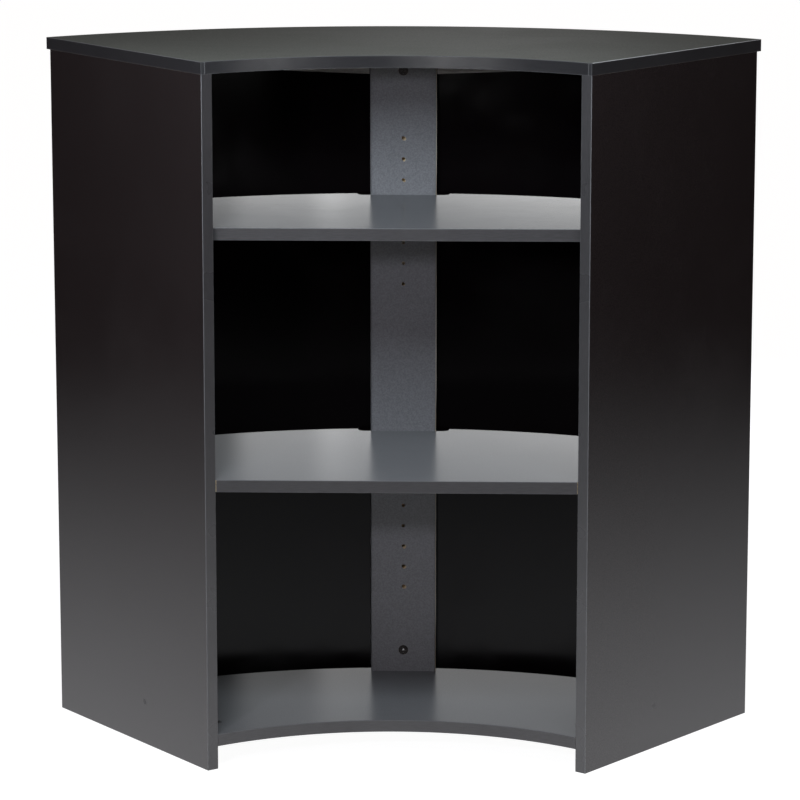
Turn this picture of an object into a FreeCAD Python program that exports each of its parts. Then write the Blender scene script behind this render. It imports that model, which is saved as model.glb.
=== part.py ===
import FreeCAD, Part

import os
from collections import defaultdict
from math import asin, atan2, cos, degrees, hypot, radians, sin, sqrt

from FreeCAD import Placement, Rotation, Vector

# Corner bar cabinet, in plan a ring sector, in millimetres with z up.
# Every board is drawn in a plan frame whose origin is the point where the outer faces of the
# two side panels would meet, with y along the middle, from the server's to the guests' side.
# Each finished piece is then moved along y, so that the part's origin is at the bottom centre
# of its bounding box.

# Driving dimensions of the cabinet
HALF_ANGLE = 37.5            # from the middle plane to each side panel, degrees
INNER_RADIUS = 453.0         # hollow edge of the top and of the base
SIDE_WIDTH = 416.0           # side panel, front edge to rear edge
SIDE_HEIGHT = 1022.0
TOP_OVERHANG = 10.0          # top past the rear edges of the side panels
BODY_RADIUS = 747.0          # hollow face of the curved panel
BOARD = 18.0                 # laminated board
BAND = 0.8                   # edge band
FLOOR_GAP = 34.0             # free height under the base
CURVED_PANEL = 3.0           # thickness of the bent panel
GROOVE_DEPTH = 5.0           # bent panel into each side panel

# Stile, shelves and cleats
STILE_WIDTH = 100.0
FIXED_SETBACK = 19.0         # shelf fronts behind the inner front corners of the sides
LOOSE_SETBACK = 0.5
NOTCH_SIDE_GAP = 20.0        # shelf notch beside the stile
NOTCH_RADIUS = 11.0
CLEAT_LENGTH = 130.0
CLEAT_HEIGHT = 39.0          # beside the stile
CLEAT_END_HEIGHT = 32.0      # at the far end
CLEAT_GAP = 4.0              # between the stile and a cleat, at the bent panel

# Rows of system holes
HOLE_PITCH = 32.0
HOLES_PER_ROW = 8
FIRST_HOLE = 136.0           # from each end of the stile
HOLE_DIAMETER = 5.0
HOLE_DEPTH = 11.5
COLUMN_INSET = 57.0          # side panel columns from the front edge and the bent panel
FIXED_HOLE_COUNT = 4         # holes of the upper row below the one at the fixed shelf
LOOSE_HOLE_COUNT = 7         # holes of the lower row below the one that carries the loose shelf

# Cams, their bolts, dowels and other fittings
CAM_DIAMETER = 15.0
CAM_HEIGHT = 12.5
CAM_RECESS = 0.2             # cam face below the board
CAM_DISTANCE = 34.0          # cam axis from the joint
CAM_WALL = 1.05
CAM_CORE = 5.2
CAM_TURN = 180.0             # from locked to open, degrees
DRIVE_LENGTH = 9.0           # cross for the screwdriver
DRIVE_WIDTH = 1.6
DRIVE_DEPTH = 2.5
BOLT_THREAD = 11.0
BOLT_NECK = 3.6
BOLT_HEAD = 6.4
BOLT_HEAD_LENGTH = 2.6
CHANNEL_DIAMETER = 8.0
DOWEL_DIAMETER = 8.0
DOWEL_LENGTH = 30.0
DOWEL_SHALLOW = 10.0         # in the board that the dowel meets flat
DOWEL_OFFSET = 32.0          # beside a bolt
PIN_LENGTH = 10.5            # shelf pin, peg in the hole
PIN_PLATE = 9.0              # its plate, out of the board
PIN_PLATE_WIDTH = 8.0
PIN_PLATE_RISE = 3.5         # plate above and below the peg axis
SCREW_DIAMETER = 4.0
SCREW_HEAD = 8.0
SCREW_HEAD_LENGTH = 2.5
SCREW_BITE = 12.0            # into the top
SCREW_GRIP = 24.0            # wood of the cleat under tension
SCREW_INSET = 28.0           # from each end of a cleat
NAIL_DIAMETER = 1.6
NAIL_LENGTH = 18.0
NAIL_HEAD = 4.0
NAIL_HEAD_LENGTH = 0.6
NAIL_INSET = 36.0            # outermost pins from the outer faces of the side panels
NAIL_OFFSET = 25.0           # from the middle of the stile
NAIL_CLEAT_INSET = 14.0      # from the far end of a cleat
NAILS_IN_BASE = 8
NAILS_IN_STILE = 3           # in each of two columns
CAP_DIAMETER = 9.0
CAP_LIP = 1.0
CAP_STEM = 6.0
CAP_STEM_LENGTH = 8.0
CAP_INSET = 173.0            # from the front edge of the side panel
CAP_HEIGHT = 65.0

# Clearances
FIT = 0.05                   # radial, round a fixed pin, bolt or dowel
RUN = 0.1                    # radial, round a cam
END = 0.5                    # at the bottom of a blind hole
SEAT = 0.2                   # between the bent panel and what carries it
LOOSE_PLAY = 1.0             # round the adjustable shelf
GRIP_PLAY = 0.2              # between a cam and its bolt

# Derived places
ANGLE = radians(HALF_ANGLE)
SIDE_REAR = INNER_RADIUS + SIDE_WIDTH
TOP_RADIUS = SIDE_REAR + TOP_OVERHANG
TOTAL_HEIGHT = SIDE_HEIGHT + BOARD
BASE_TOP = FLOOR_GAP + BOARD
CENTRE_Y = (INNER_RADIUS * cos(ANGLE) + TOP_RADIUS) / 2
CARRIED_RADIUS = BODY_RADIUS - SEAT
CORNER_Y = INNER_RADIUS * cos(ANGLE) + BOARD * sin(ANGLE)
STILE_BACK = sqrt(CARRIED_RADIUS ** 2 - (STILE_WIDTH / 2) ** 2)
STILE_FRONT = STILE_BACK - BOARD
STILE_MIDDLE = STILE_BACK - BOARD / 2
COLUMNS = {"front": INNER_RADIUS + COLUMN_INSET, "rear": BODY_RADIUS - COLUMN_INSET}
DOWEL_PLACES = (COLUMNS["front"] + DOWEL_OFFSET, COLUMNS["rear"] - DOWEL_OFFSET)
LOWER_ROW = [BASE_TOP + FIRST_HOLE + HOLE_PITCH * i for i in range(HOLES_PER_ROW)]
UPPER_ROW = [SIDE_HEIGHT - FIRST_HOLE - HOLE_PITCH * i for i in reversed(range(HOLES_PER_ROW))]
FIXED_MIDDLE = UPPER_ROW[0] + HOLE_PITCH * FIXED_HOLE_COUNT
LOOSE_PIN = LOWER_ROW[0] + HOLE_PITCH * LOOSE_HOLE_COUNT
LOOSE_BOTTOM = LOOSE_PIN + PIN_PLATE_RISE
SIDES = {"left": -1, "right": 1}
UP = Vector(0, 0, 1)
DOWN = Vector(0, 0, -1)
TO_SERVER = Vector(0, -1, 0)
TO_GUEST = Vector(0, 1, 0)


# Plan geometry
def along(side):
    """Unit vector along a side panel, away from the server."""
    return Vector(side * sin(ANGLE), cos(ANGLE), 0)


def inward(side):
    """Unit vector square to a side panel, into the cabinet."""
    return Vector(-side * cos(ANGLE), sin(ANGLE), 0)


def on_side(side, distance, inset, z):
    """Point at a distance along a side panel and an inset from its outer face."""
    return along(side) * distance + inward(side) * inset + UP * z


def on_arc(side, radius, inset):
    """Point where an arc meets the line that lies an inset inside a side panel's outer face."""
    return on_side(side, sqrt(radius ** 2 - inset ** 2), inset, 0)


def on_chord(side, y, inset):
    """Point where a straight front meets the line an inset inside a side panel's outer face."""
    return on_side(side, (y - inset * sin(ANGLE)) / cos(ANGLE), inset, 0)


def at_width(radius, x):
    """Point of an arc at a given x on the guests' side."""
    return Vector(x, sqrt(radius ** 2 - x ** 2), 0)


def arc(start, middle, end):
    """Edge through three points of a round stretch."""
    return Part.Arc(start, middle, end).toShape()


def centred_arc(start, end, radius):
    """Edge of an arc about the plan origin, through the middle plane or near it."""
    middle = (start + end) * 0.5
    return arc(start, middle * (radius / hypot(middle.x, middle.y)), end)


def board(edges, bottom, thickness):
    """Solid with the outline of some plan edges, from a bottom height upwards."""
    face = Part.Face(Part.Wire(edges))
    face.translate(UP * bottom)
    return face.extrude(UP * thickness)


def ring_board(inner, outer, inset, bottom, thickness):
    """Ring sector between two radii and two lines parallel to the side panels."""
    inner_left, inner_right = on_arc(-1, inner, inset), on_arc(1, inner, inset)
    outer_left, outer_right = on_arc(-1, outer, inset), on_arc(1, outer, inset)
    edges = [
        centred_arc(inner_left, inner_right, inner),
        Part.makeLine(inner_right, outer_right),
        centred_arc(outer_right, outer_left, outer),
        Part.makeLine(outer_left, inner_left),
    ]
    return board(edges, bottom, thickness)


def side_board(side, start, end, inset, thickness, bottom, height):
    """Flat piece parallel to a side panel, between two distances along it."""
    corners = [
        on_side(side, start, inset, 0),
        on_side(side, end, inset, 0),
        on_side(side, end, inset + thickness, 0),
        on_side(side, start, inset + thickness, 0),
    ]
    return board(Part.makePolygon(corners + corners[:1]).Edges, bottom, height)


def box(x0, x1, y0, y1, z0, z1):
    """Box between two corners."""
    return Part.makeBox(x1 - x0, y1 - y0, z1 - z0, Vector(x0, y0, z0))


def rod(start, direction, diameter, length):
    """Cylinder from a point along a direction."""
    return Part.makeCylinder(diameter / 2, length, start, direction)


def shelf_outline(front, inset, radius, notch_front):
    """Edges of a shelf: straight front, sides along the panels, round rear with a notch."""
    front_left, front_right = on_chord(-1, front, inset), on_chord(1, front, inset)
    rear_left, rear_right = on_arc(-1, radius, inset), on_arc(1, radius, inset)
    half = STILE_WIDTH / 2 + NOTCH_SIDE_GAP
    flat = half - NOTCH_RADIUS
    lift = NOTCH_RADIUS * (1 - sin(radians(45)))
    edges = [Part.makeLine(front_left, front_right), Part.makeLine(front_right, rear_right)]
    notch = {}
    for side in (1, -1):
        mouth = at_width(radius, side * half)
        wall = Vector(side * half, notch_front + NOTCH_RADIUS, 0)
        middle = Vector(side * (half - lift), notch_front + lift, 0)
        foot = Vector(side * flat, notch_front, 0)
        notch[side] = (mouth, wall, middle, foot)
    mouth, wall, middle, foot = notch[1]
    edges += [centred_arc(rear_right, mouth, radius), Part.makeLine(mouth, wall), arc(wall, middle, foot)]
    edges.append(Part.makeLine(foot, notch[-1][3]))
    mouth, wall, middle, foot = notch[-1]
    edges += [arc(foot, middle, wall), Part.makeLine(wall, mouth), centred_arc(mouth, rear_left, radius)]
    edges.append(Part.makeLine(rear_left, front_left))
    return edges


# Pieces, and what is cut out of them later
pieces = {}
cuts = defaultdict(list)
groups = defaultdict(list)


# Boards
def make_top():
    """Top board with a band on each of its four edges."""
    core_inner, core_outer = INNER_RADIUS + BAND, TOP_RADIUS - BAND
    full = ring_board(core_inner, core_outer, 0, SIDE_HEIGHT, BOARD)
    pieces["top_panel"] = ring_board(core_inner, core_outer, BAND, SIDE_HEIGHT, BOARD)
    pieces["top_front_band"] = ring_board(INNER_RADIUS, core_inner, 0, SIDE_HEIGHT, BOARD)
    pieces["top_rear_band"] = ring_board(core_outer, TOP_RADIUS, 0, SIDE_HEIGHT, BOARD)
    strips = sorted(full.cut(pieces["top_panel"]).Solids, key=lambda solid: solid.CenterOfMass.x)
    pieces["top_left_band"], pieces["top_right_band"] = strips


def make_sides():
    """Side panels with their bands, the groove of the bent panel and the columns of holes."""
    for name, side in SIDES.items():
        node = name + "_side_panel"
        pieces[node] = side_board(
            side, INNER_RADIUS + BAND, SIDE_REAR - BAND, 0, BOARD, 0, SIDE_HEIGHT)
        pieces[name + "_side_front_band"] = side_board(
            side, INNER_RADIUS, INNER_RADIUS + BAND, 0, BOARD, 0, SIDE_HEIGHT)
        pieces[name + "_side_rear_band"] = side_board(
            side, SIDE_REAR - BAND, SIDE_REAR, 0, BOARD, 0, SIDE_HEIGHT)
        groove = ring_board(
            BODY_RADIUS - SEAT, BODY_RADIUS + CURVED_PANEL + SEAT,
            BOARD - GROOVE_DEPTH - SEAT, FLOOR_GAP - SEAT, SIDE_HEIGHT)
        cuts[node].append(groove)
        for distance in COLUMNS.values():
            for z in LOWER_ROW + UPPER_ROW:
                start = on_side(side, distance, BOARD, z)
                cuts[node].append(rod(start, inward(side) * -1, HOLE_DIAMETER + 2 * FIT, HOLE_DEPTH))


def make_base():
    """Base with a band on its hollow front edge."""
    core = INNER_RADIUS + BAND
    pieces["base_panel"] = ring_board(core, CARRIED_RADIUS, BOARD, FLOOR_GAP, BOARD)
    pieces["base_front_band"] = ring_board(INNER_RADIUS, core, BOARD, FLOOR_GAP, BOARD)


def make_shelf(node, band, setback, play, notch_gap, bottom):
    """Shelf with a straight banded front, set back behind the front corners of the sides."""
    front = CORNER_Y + setback
    inset = BOARD + play
    outline = shelf_outline(front + BAND, inset, BODY_RADIUS - LOOSE_PLAY, STILE_FRONT - notch_gap)
    pieces[node] = board(outline, bottom, BOARD)
    corners = [
        on_chord(-1, front, inset),
        on_chord(1, front, inset),
        on_chord(1, front + BAND, inset),
        on_chord(-1, front + BAND, inset),
    ]
    pieces[band] = board(Part.makePolygon(corners + corners[:1]).Edges, bottom, BOARD)


def make_stile():
    """Upright with bands on its long edges and two rows of holes in its face."""
    half = STILE_WIDTH / 2
    core = half - BAND
    span = (STILE_FRONT, STILE_BACK, BASE_TOP, SIDE_HEIGHT)
    pieces["centre_stile"] = box(-core, core, *span)
    pieces["stile_left_band"] = box(-half, -core, *span)
    pieces["stile_right_band"] = box(core, half, *span)
    for z in LOWER_ROW + UPPER_ROW:
        start = Vector(0, STILE_FRONT, z)
        cuts["centre_stile"].append(rod(start, TO_GUEST, HOLE_DIAMETER + 2 * FIT, HOLE_DEPTH))


def make_curved_panel():
    """Bent panel in the grooves of the side panels, from the underside of the base to the top."""
    pieces["curved_panel"] = ring_board(
        BODY_RADIUS, BODY_RADIUS + CURVED_PANEL, BOARD - GROOVE_DEPTH,
        FLOOR_GAP, SIDE_HEIGHT - SEAT - FLOOR_GAP)


def cleat_frame(side):
    """Inner rear corner of a cleat and the unit vectors along it and towards the server."""
    near = at_width(CARRIED_RADIUS, side * (STILE_WIDTH / 2 + CLEAT_GAP))
    swing = 2 * asin(CLEAT_LENGTH / 2 / CARRIED_RADIUS)
    turn = side * (atan2(abs(near.x), near.y) + swing)
    far = Vector(sin(turn), cos(turn), 0) * CARRIED_RADIUS
    run = (far - near).normalize()
    return near, run, Vector(side * run.y, -abs(run.x), 0).normalize()


def make_cleats():
    """Battens under the top beside the stile, lower next to it, with their screws."""
    for name, side in SIDES.items():
        near, run, front = cleat_frame(side)
        node = name + "_top_cleat"
        profile = [
            near + UP * SIDE_HEIGHT,
            near + run * CLEAT_LENGTH + UP * SIDE_HEIGHT,
            near + run * CLEAT_LENGTH + UP * (SIDE_HEIGHT - CLEAT_END_HEIGHT),
            near + UP * (SIDE_HEIGHT - CLEAT_HEIGHT),
        ]
        face = Part.Face(Part.makePolygon(profile + profile[:1]))
        pieces[node] = face.extrude(front * BOARD)
        for distance in (SCREW_INSET, CLEAT_LENGTH - SCREW_INSET):
            seat = near + run * distance + front * (BOARD / 2) + UP * (SIDE_HEIGHT - SCREW_GRIP)
            add_cleat_screw(node, seat)


def add_cleat_screw(node, seat):
    """Screw whose head bears on a seat inside a cleat and whose thread bites into the top."""
    shank = rod(seat, UP, SCREW_DIAMETER, SCREW_GRIP + SCREW_BITE)
    head = rod(seat - UP * SCREW_HEAD_LENGTH, UP, SCREW_HEAD, SCREW_HEAD_LENGTH)
    groups["cleat_screws"].append(head.fuse(shank).removeSplitter())
    hole = rod(seat, UP, SCREW_DIAMETER + 2 * FIT, SCREW_GRIP + SCREW_BITE + END)
    sink = rod(seat, DOWN, SCREW_HEAD + 2 * FIT, CLEAT_HEIGHT)
    cuts[node] += [hole, sink]
    cuts["top_panel"].append(hole)


# Cams and their bolts
def cam_solid():
    """Cam about the z axis, bolt along x from the joint at the origin.

    The bolt's head lies in a ring pocket that is open at the back, and its neck runs in a slot
    through the wall.  Both run far enough round for the cam to turn from locked to open.
    """
    radius = CAM_DIAMETER / 2
    face = BOARD / 2 - CAM_RECESS
    back = face - CAM_HEIGHT
    centre = Vector(CAM_DISTANCE, 0, 0)
    near = CAM_CORE / 2 + GRIP_PLAY
    reach = degrees(atan2(BOLT_HEAD / 2 + GRIP_PLAY, near))
    sweep = CAM_TURN + 2 * reach
    roof = BOLT_HEAD / 2 + GRIP_PLAY
    slot = BOLT_NECK / 2 + GRIP_PLAY
    solid = Part.makeCylinder(radius, CAM_HEIGHT, centre + UP * back)
    pocket = Part.makeCylinder(radius - CAM_WALL, roof - back, centre + UP * back, UP, sweep)
    ring = Part.makeCylinder(radius + RUN, 2 * slot, centre - UP * slot, UP, sweep)
    hollow = pocket.fuse(ring)
    hollow.rotate(centre, UP, 180 - reach - CAM_TURN)
    core = Part.makeCylinder(CAM_CORE / 2, CAM_HEIGHT, centre + UP * back)
    solid = solid.cut(hollow.cut(core))
    for length, width in ((DRIVE_LENGTH, DRIVE_WIDTH), (DRIVE_WIDTH, DRIVE_LENGTH)):
        corner = centre + Vector(-length / 2, -width / 2, face - DRIVE_DEPTH)
        solid = solid.cut(Part.makeBox(length, width, DRIVE_DEPTH, corner))
    return solid


def bolt_solid():
    """Bolt along x: thread behind the origin, neck and head in front of it."""
    along_x = Vector(1, 0, 0)
    head_end = CAM_DISTANCE - CAM_CORE / 2 - GRIP_PLAY
    thread = rod(along_x * -BOLT_THREAD, along_x, HOLE_DIAMETER, BOLT_THREAD)
    neck = rod(Vector(0, 0, 0), along_x, BOLT_NECK, head_end)
    head = rod(along_x * (head_end - BOLT_HEAD_LENGTH), along_x, BOLT_HEAD, BOLT_HEAD_LENGTH)
    return thread.fuse([neck, head]).removeSplitter()


def cam_housing():
    """What a cam and its bolt take out of the board that holds the cam."""
    depth = CAM_RECESS + CAM_HEIGHT + END
    bore = Part.makeCylinder(
        CAM_DIAMETER / 2 + RUN, depth, Vector(CAM_DISTANCE, 0, BOARD / 2 - depth))
    return bore.fuse(rod(Vector(0, 0, 0), Vector(1, 0, 0), CHANNEL_DIAMETER, CAM_DISTANCE))


def bolt_anchor():
    """Hole for the bolt's thread in the other board."""
    return rod(Vector(0, 0, 0), Vector(-1, 0, 0), HOLE_DIAMETER + 2 * FIT, HOLE_DEPTH)


def placed(shape, origin, x_axis, z_axis):
    """Copy of a shape with its own x and z axes laid along two directions."""
    copy = shape.copy()
    copy.Placement = Placement(origin, Rotation(x_axis, z_axis.cross(x_axis), z_axis, "ZXY"))
    return copy


def add_connector(name, origin, run, face, holder, anchor):
    """Cam in the holder board, with its bolt from the anchor board along a run."""
    pieces["cam_" + name] = placed(cam_solid(), origin, run, face)
    groups["cam_bolts"].append(placed(bolt_solid(), origin, run, face))
    cuts[holder].append(placed(cam_housing(), origin, run, face))
    cuts[anchor].append(placed(bolt_anchor(), origin, run, face))


def add_dowel(origin, run, deep, shallow):
    """Dowel across a joint: its long part along a run, its short part behind the origin."""
    groups["dowels"].append(rod(origin - run * DOWEL_SHALLOW, run, DOWEL_DIAMETER, DOWEL_LENGTH))
    wide = DOWEL_DIAMETER + 2 * FIT
    cuts[deep].append(rod(origin, run, wide, DOWEL_LENGTH - DOWEL_SHALLOW + END))
    cuts[shallow].append(rod(origin, run * -1, wide, DOWEL_SHALLOW + END))


def join_boards():
    """Cams and dowels at every joint between boards."""
    base_middle = BASE_TOP - BOARD / 2
    for name, side in SIDES.items():
        panel = name + "_side_panel"
        into = inward(side)
        for place, distance in COLUMNS.items():
            tag = name + "_" + place
            base_joint = on_side(side, distance, BOARD, base_middle)
            add_connector("base_" + tag, base_joint, into, UP, "base_panel", panel)
            shelf_joint = on_side(side, distance, BOARD, FIXED_MIDDLE)
            add_connector("shelf_" + tag, shelf_joint, into, DOWN, "fixed_shelf", panel)
            top_joint = on_side(side, distance, BOARD / 2, SIDE_HEIGHT)
            add_connector("top_" + tag, top_joint, DOWN, into, panel, "top_panel")
        for distance in DOWEL_PLACES:
            add_dowel(on_side(side, distance, BOARD, base_middle), into, "base_panel", panel)
            add_dowel(on_side(side, distance, BOARD, FIXED_MIDDLE), into, "fixed_shelf", panel)
            add_dowel(on_side(side, distance, BOARD / 2, SIDE_HEIGHT), DOWN, panel, "top_panel")
        rear = SIDE_REAR - DOWEL_OFFSET
        add_dowel(on_side(side, rear, BOARD / 2, SIDE_HEIGHT), DOWN, panel, "top_panel")


def join_stile():
    """Cams and dowels of the stile, to the base, to the top and to the fixed shelf."""
    foot, head = Vector(0, STILE_MIDDLE, BASE_TOP), Vector(0, STILE_MIDDLE, SIDE_HEIGHT)
    add_connector("stile_foot", foot, UP, TO_SERVER, "centre_stile", "base_panel")
    add_connector("stile_top", head, DOWN, TO_SERVER, "centre_stile", "top_panel")
    shelf_joint = Vector(0, STILE_FRONT, FIXED_MIDDLE)
    add_connector("shelf_stile", shelf_joint, TO_SERVER, DOWN, "fixed_shelf", "centre_stile")
    for x in (-DOWEL_OFFSET, DOWEL_OFFSET):
        step = Vector(x, 0, 0)
        add_dowel(foot + step, UP, "centre_stile", "base_panel")
        add_dowel(head + step, DOWN, "centre_stile", "top_panel")


# Small fittings
def add_shelf_pin(origin, outward):
    """Pin under the adjustable shelf: a peg in a hole and a flat plate in front of it."""
    peg = rod(origin, outward * -1, HOLE_DIAMETER, PIN_LENGTH)
    plate = Part.makeBox(
        PIN_PLATE, PIN_PLATE_WIDTH, 2 * PIN_PLATE_RISE,
        Vector(0, -PIN_PLATE_WIDTH / 2, -PIN_PLATE_RISE))
    groups["shelf_pins"].append(peg.fuse(placed(plate, origin, outward, UP)))


def add_nail(angle, z, *boards):
    """Headed pin through the bent panel at an angle from the middle plane, into some boards."""
    away = Vector(sin(angle), cos(angle), 0)
    surface = away * (BODY_RADIUS + CURVED_PANEL + SEAT) + UP * z
    shank = rod(surface, away * -1, NAIL_DIAMETER, NAIL_LENGTH)
    head = rod(surface, away, NAIL_HEAD, NAIL_HEAD_LENGTH)
    groups["panel_pins"].append(head.fuse(shank).removeSplitter())
    for node in ("curved_panel",) + boards:
        cuts[node].append(rod(surface, away * -1, NAIL_DIAMETER + 2 * FIT, NAIL_LENGTH + END))


def add_nails():
    """Pins of the bent panel: a row in the base, two columns in the stile, one in each cleat."""
    reach = ANGLE - asin(NAIL_INSET / BODY_RADIUS)
    for i in range(NAILS_IN_BASE):
        share = 2 * i / (NAILS_IN_BASE - 1) - 1
        add_nail(reach * share, FLOOR_GAP + BOARD / 2, "base_panel")
    step = (SIDE_HEIGHT - BASE_TOP) / (NAILS_IN_STILE + 1)
    for name, side in SIDES.items():
        for i in range(NAILS_IN_STILE):
            add_nail(side * asin(NAIL_OFFSET / BODY_RADIUS), BASE_TOP + step * (i + 1), "centre_stile")
        near, run, front = cleat_frame(side)
        far = near + run * (CLEAT_LENGTH - NAIL_CLEAT_INSET)
        add_nail(atan2(far.x, far.y), SIDE_HEIGHT - CLEAT_END_HEIGHT / 2, name + "_top_cleat")


def add_caps():
    """Flush caps in the outer faces of the side panels."""
    for name, side in SIDES.items():
        start = on_side(side, INNER_RADIUS + CAP_INSET, 0, CAP_HEIGHT)
        lip = rod(start, inward(side), CAP_DIAMETER, CAP_LIP)
        stem = rod(start, inward(side), CAP_STEM, CAP_STEM_LENGTH)
        pieces[name + "_link_cap"] = lip.fuse(stem).removeSplitter()
        sink = rod(start, inward(side), CAP_DIAMETER + 2 * FIT, CAP_LIP)
        hole = rod(start, inward(side), CAP_STEM + 2 * FIT, CAP_STEM_LENGTH + END)
        cuts[name + "_side_panel"] += [sink, hole]


def add_shelf_pins():
    """Pins of the adjustable shelf, on both columns of each side panel and on the stile."""
    for side in SIDES.values():
        for distance in COLUMNS.values():
            add_shelf_pin(on_side(side, distance, BOARD, LOOSE_PIN), inward(side))
    add_shelf_pin(Vector(0, STILE_FRONT, LOOSE_PIN), TO_SERVER)


# The whole cabinet
def make_cabinet():
    """Build every piece, take out the holes and return the nodes in the part's own frame."""
    make_top()
    make_sides()
    make_base()
    make_shelf("fixed_shelf", "fixed_shelf_band", FIXED_SETBACK, 0, 0, FIXED_MIDDLE - BOARD / 2)
    make_shelf(
        "adjustable_shelf", "adjustable_shelf_band", LOOSE_SETBACK, LOOSE_PLAY, LOOSE_PLAY, LOOSE_BOTTOM)
    make_stile()
    make_curved_panel()
    make_cleats()
    join_boards()
    join_stile()
    add_shelf_pins()
    add_nails()
    add_caps()
    for node, tools in cuts.items():
        pieces[node] = pieces[node].cut(tools)
    for node, solids in groups.items():
        pieces[node] = Part.makeCompound(solids)
    for shape in pieces.values():
        shape.translate(Vector(0, -CENTRE_Y, 0))
    return pieces


os.makedirs("parts", exist_ok=True)
for node, shape in make_cabinet().items():
    shape.exportStep("parts/" + node + ".step")
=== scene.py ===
"""Looks of a curved corner bar cabinet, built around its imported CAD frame.

All sizes are in metres, in the frame of the part: z is up, y runs from the server's to the guests'
side, and the origin is at the bottom centre of the cabinet.
"""

import logging
from dataclasses import dataclass
from enum import Enum
from math import asin, cos, hypot, radians, sin, sqrt

import bpy
import numpy as np
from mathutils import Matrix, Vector

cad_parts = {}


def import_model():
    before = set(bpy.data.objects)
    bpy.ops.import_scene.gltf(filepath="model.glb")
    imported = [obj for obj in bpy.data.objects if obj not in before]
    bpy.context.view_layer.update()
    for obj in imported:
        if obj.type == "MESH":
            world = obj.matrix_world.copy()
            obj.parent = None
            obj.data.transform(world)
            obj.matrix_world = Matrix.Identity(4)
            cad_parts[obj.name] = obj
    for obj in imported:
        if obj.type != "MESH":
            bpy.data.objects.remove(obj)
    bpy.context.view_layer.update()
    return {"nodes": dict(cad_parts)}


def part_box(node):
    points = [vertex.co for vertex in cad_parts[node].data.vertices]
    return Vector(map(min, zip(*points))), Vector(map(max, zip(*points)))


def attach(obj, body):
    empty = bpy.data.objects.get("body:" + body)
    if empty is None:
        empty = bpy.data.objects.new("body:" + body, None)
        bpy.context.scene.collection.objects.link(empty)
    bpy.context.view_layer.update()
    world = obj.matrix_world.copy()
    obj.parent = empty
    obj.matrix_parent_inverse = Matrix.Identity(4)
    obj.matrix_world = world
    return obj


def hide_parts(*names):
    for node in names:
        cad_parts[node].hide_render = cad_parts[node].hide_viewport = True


LOG = logging.getLogger("bar_cabinet")

Array = np.ndarray
Colour = tuple[float, float, float]
Span = tuple[float, float]
Piece = bpy.types.Object
Socket = bpy.types.NodeSocket
Value = float | tuple | Socket

UP = np.array([0.0, 0.0, 1.0])
WHITE = (1.0, 1.0, 1.0)
UNIT = (0.0, 1.0)
SHARP_TURN = radians(40)
FLAT_WEIGHT = 100
FIRST_DEPTH = 1.5
OTHER_RAYS = ("camera", "diffuse", "transmission", "shadow")
SOCKET_KINDS = {"Vector": "Vector", "Axis": "Vector", "Centre": "Vector", "Colour": "Color"}


class Side(Enum):
    """Side panel of the cabinet, as the server sees it."""

    LEFT = -1
    RIGHT = 1

    @property
    def word(self) -> str:
        """Name of the side in the nodes' names."""
        return self.name.lower()


class Slot(Enum):
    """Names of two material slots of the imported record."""

    BAND = "edge_band"
    BENT = "bent_panel"


class Body(Enum):
    """Moving bodies that new pieces ride on."""

    CARCASS = "carcass"
    SHELF = "shelf"


class Effect(Enum):
    """Shader effects that several finishes share, by the names of their node groups."""

    PRESSED = "pressed_texture"
    HANDLED = "handling_marks"
    CORE = "raw_core"
    CHIPS = "wood_chips"
    WORN = "arris_wear"
    CHIPPED = "chipped_rim"


def screen(red: int, green: int, blue: int) -> Colour:
    """Turn a screen colour, 0 to 255, into linear light by the usual curve of screens.

    Args:
        red: red of the screen colour.
        green: green of the screen colour.
        blue: blue of the screen colour.

    Returns:
        The colour as three linear values.
    """
    share = np.array([red, green, blue]) / 255.0
    light = np.where(share <= 0.04045, share / 12.92, ((share + 0.055) / 1.055) ** 2.4)
    return tuple(float(value) for value in light)


OUTER_TONES = ((0.0230, 0.0172, 0.0164), (0.0266, 0.0199, 0.0190))
# Near-white colour of the top bands' wear and of their painted highlights.
PALE_LINE = screen(214, 214, 212)


# Plan of the cabinet


def radial(turns: Array) -> Array:
    """Unit vectors (sin a, cos a, 0) at some turns about an upright axis."""
    return np.stack([np.sin(turns), np.cos(turns), np.zeros_like(turns)], axis=-1)


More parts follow.
